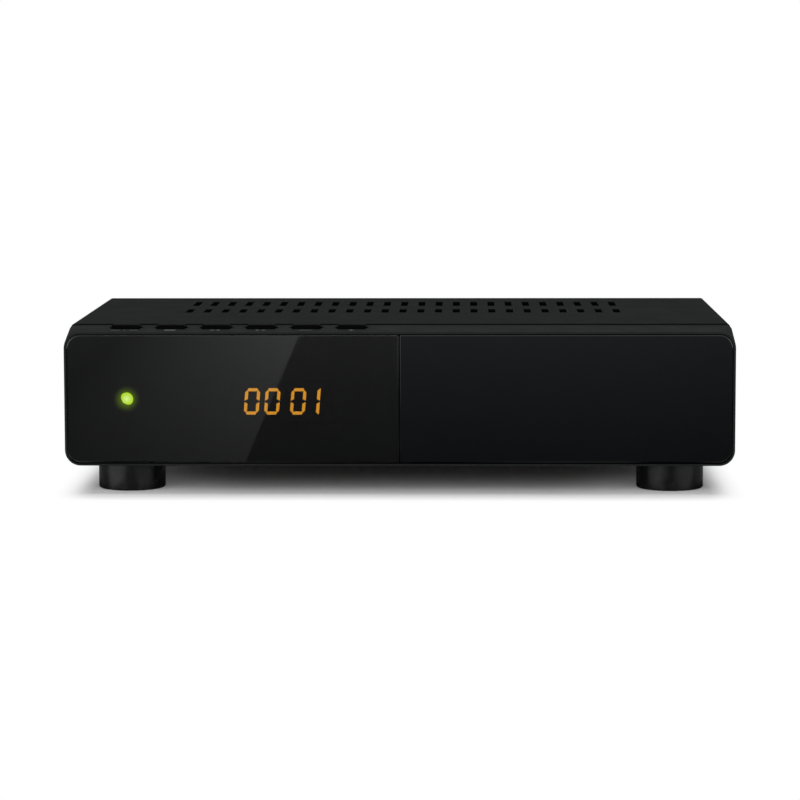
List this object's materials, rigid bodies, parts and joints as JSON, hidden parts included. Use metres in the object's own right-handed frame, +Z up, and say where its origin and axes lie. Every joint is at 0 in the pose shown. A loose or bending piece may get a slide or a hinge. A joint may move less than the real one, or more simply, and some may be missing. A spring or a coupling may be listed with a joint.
{
  "type": "satellite television receiver",
  "caption": "Small black set-top receiver box with a vented sheet-metal cover, a moulded front with a lit display behind a smoked window, a drop-down flap and a row of top keys.",
  "frame": {"origin": "on the surface that the feet stand on, below the middle of the outline", "axes": "+Z up, the front faces -Y, +X on the right of someone who faces the front"},
  "size_m": [0.168, 0.109, 0.0424],
  "materials": {
    "cover_paint": "fine matt black paint",
    "tray_metal": "matt black paint",
    "fascia_plastic": "satin black moulded plastic",
    "flap_gloss": "gloss black moulded plastic",
    "smoked_window": "smoked clear plastic",
    "key_plastic": "gloss black moulded plastic",
    "plunger_plastic": "natural plastic",
    "switch_body": "black switch housing",
    "screw_steel": "black or bright plated steel",
    "board_laminate": "green solder mask",
    "display_filter": "dark display housing",
    "lit_segments": "lit amber",
    "lamp_lens": "lit green lens",
    "infrared_lens": "dark infrared filter",
    "header_plastic": "ivory connector housing",
    "ribbon_plastic": "grey flat cable",
    "tin_plate": "tin-plated steel",
    "nickel_plate": "nickel plate",
    "insulator_plastic": "white insulator",
    "socket_plastic": "black socket housing",
    "chip_plastic": "moulded chip housing",
    "thermal_rubber": "soft grey pad",
    "heatsink_metal": "plain extruded aluminium",
    "capacitor_sleeve": "sleeved can",
    "inductor_ferrite": "ferrite",
    "crystal_can": "plated can",
    "foot_plastic": "satin black moulded plastic",
    "pad_rubber": "black rubber",
    "sign_ink": "white printed ink of the signs at the keys"
  },
  "bodies": {
    "case": {"aerial_insulator": "insulator_plastic", "aerial_nut": "nickel_plate", "aerial_socket": "nickel_plate", "audio_socket_sleeve": "nickel_plate", "base_tray": "tray_metal", "board_screws": "screw_steel", "capacitors": "capacitor_sleeve", "cover_screws": "screw_steel", "crystal": "crystal_can", "data_socket": "nickel_plate", "data_socket_tongue": "insulator_plastic", "dc_inlet": "socket_plastic", "dc_inlet_pin": "nickel_plate", "digital_audio_socket": "socket_plastic", "digital_video_socket": "nickel_plate", "digital_video_tongue": "insulator_plastic", "display_digits": "lit_segments", "display_module": "display_filter", "display_window": "smoked_window", "euro_av_socket": "socket_plastic", "fascia_frame": "fascia_plastic", "fascia_screws": "screw_steel", "feet": "foot_plastic", "flap_hinge_pins": "screw_steel", "foot_pads": "pad_rubber", "foot_screws": "screw_steel", "front_board": "board_laminate", "front_board_screws": "screw_steel", "heatsink": "heatsink_metal", "inductors": "inductor_ferrite", "infrared_receiver": "infrared_lens", "key_switches": "switch_body", "main_board": "board_laminate", "main_chip": "chip_plastic", "memory_chips": "chip_plastic", "power_lamp": "lamp_lens", "rear_panel": "cover_paint", "rear_screws": "screw_steel", "ribbon_cable": "ribbon_plastic", "ribbon_headers": "header_plastic", "thermal_pad": "thermal_rubber", "top_cover": "cover_paint", "tuner_can": "tin_plate", "tuner_lid": "tin_plate"},
    "flap": {"front_flap": "flap_gloss"},
    "key_1_body": {"key_1": "key_plastic", "switch_plunger_1": "plunger_plastic"},
    "key_2_body": {"key_2": "key_plastic", "switch_plunger_2": "plunger_plastic"},
    "key_3_body": {"key_3": "key_plastic", "switch_plunger_3": "plunger_plastic"},
    "key_4_body": {"key_4": "key_plastic", "switch_plunger_4": "plunger_plastic"},
    "key_5_body": {"key_5": "key_plastic", "switch_plunger_5": "plunger_plastic"},
    "key_6_body": {"key_6": "key_plastic", "switch_plunger_6": "plunger_plastic"}
  },
  "joints": [
    {"name": "flap_hinge", "type": "hinge", "parent": "case", "child": "flap", "pos_m": [0.04173, -0.0527, 0.01225], "axis": [1, 0, 0], "range_deg": [0, 90]},
    {"name": "key_1_press", "type": "slide", "parent": "case", "child": "key_1_body", "axis": [0, 0, -1], "range_m": [0, 0.0005], "stiffness_N_per_m": 2000},
    {"name": "key_2_press", "type": "slide", "parent": "case", "child": "key_2_body", "axis": [0, 0, -1], "range_m": [0, 0.0005], "stiffness_N_per_m": 2000},
    {"name": "key_3_press", "type": "slide", "parent": "case", "child": "key_3_body", "axis": [0, 0, -1], "range_m": [0, 0.0005], "stiffness_N_per_m": 2000},
    {"name": "key_4_press", "type": "slide", "parent": "case", "child": "key_4_body", "axis": [0, 0, -1], "range_m": [0, 0.0005], "stiffness_N_per_m": 2000},
    {"name": "key_5_press", "type": "slide", "parent": "case", "child": "key_5_body", "axis": [0, 0, -1], "range_m": [0, 0.0005], "stiffness_N_per_m": 2000},
    {"name": "key_6_press", "type": "slide", "parent": "case", "child": "key_6_body", "axis": [0, 0, -1], "range_m": [0, 0.0005], "stiffness_N_per_m": 2000}
  ]
}
